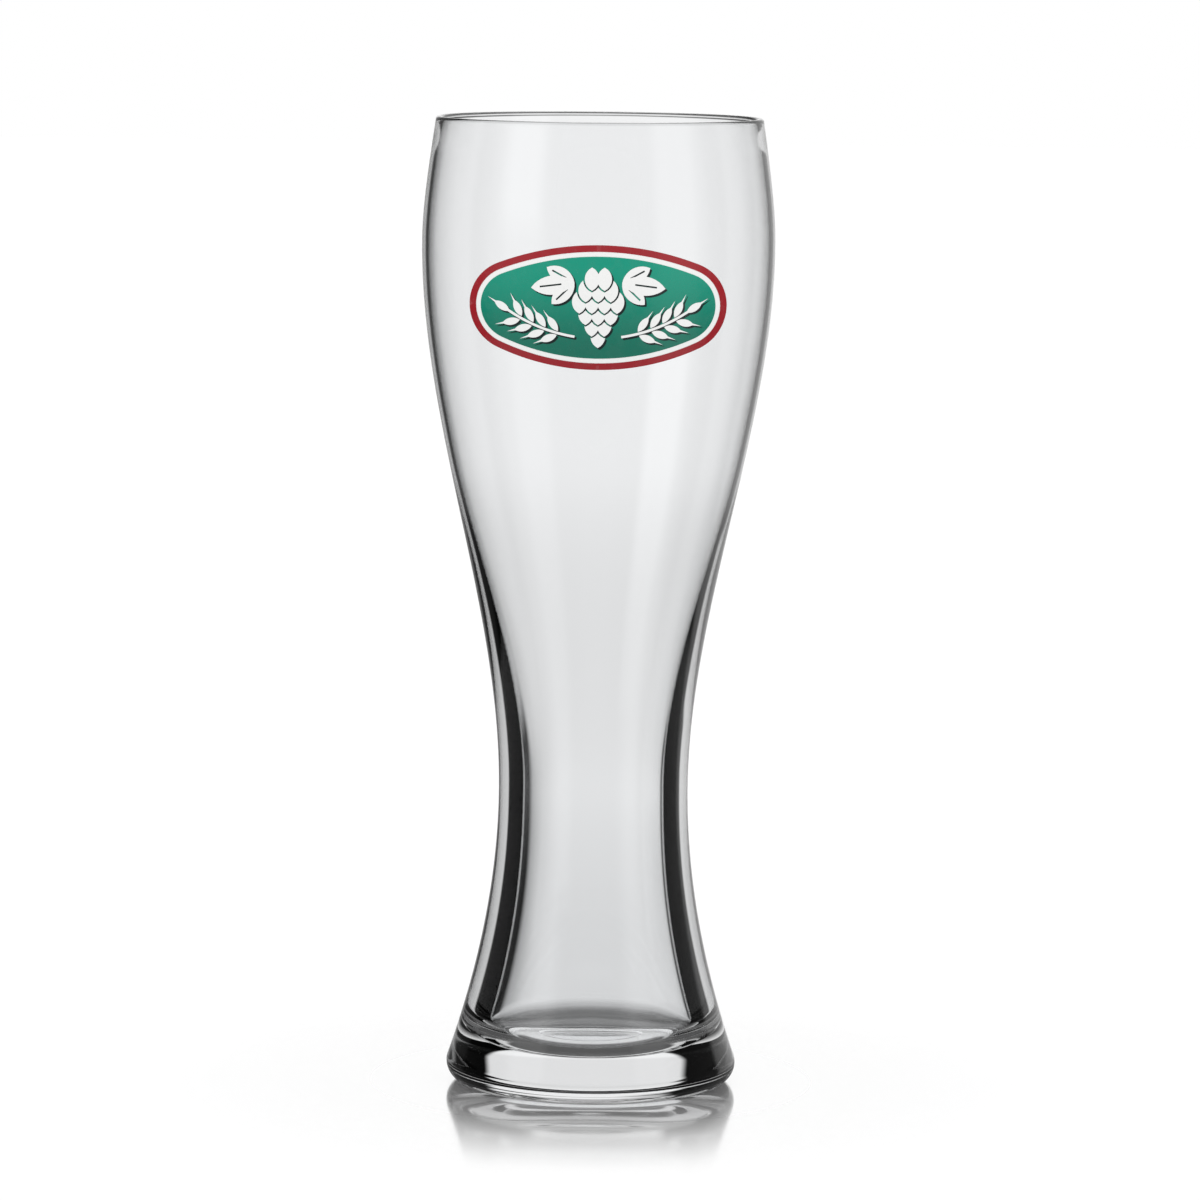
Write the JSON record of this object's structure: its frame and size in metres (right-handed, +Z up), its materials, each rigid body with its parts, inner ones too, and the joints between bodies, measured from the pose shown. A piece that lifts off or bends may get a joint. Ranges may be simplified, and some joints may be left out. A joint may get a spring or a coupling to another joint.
{
  "type": "beer glass",
  "caption": "Tall wheat beer glass with a wide bowl, slim waist, thick flared foot and a printed oval badge of barley ears and a hop cone.",
  "frame": {"origin": "on the axis of the glass, at the table under its foot", "axes": "+Z up along the axis of the glass, -Y through the middle of the printed badge, +X to the right of the badge as seen from the front"},
  "size_m": [0.087, 0.0871, 0.24],
  "materials": {
    "clear_glass": "clear, fire polished",
    "white_ink": "fired glossy ink",
    "red_ink": "fired glossy ink",
    "green_ink": "fired glossy ink",
    "dark_ink": "fired glossy ink"
  },
  "bodies": {
    "root": {"glass_body": "clear_glass", "print_white_base": "white_ink", "print_red_ring": "red_ink", "print_green_field": "green_ink", "print_motif_shadow": "dark_ink", "print_barley_ears": "white_ink", "print_hop_cone": "white_ink"}
  },
  "joints": []
}
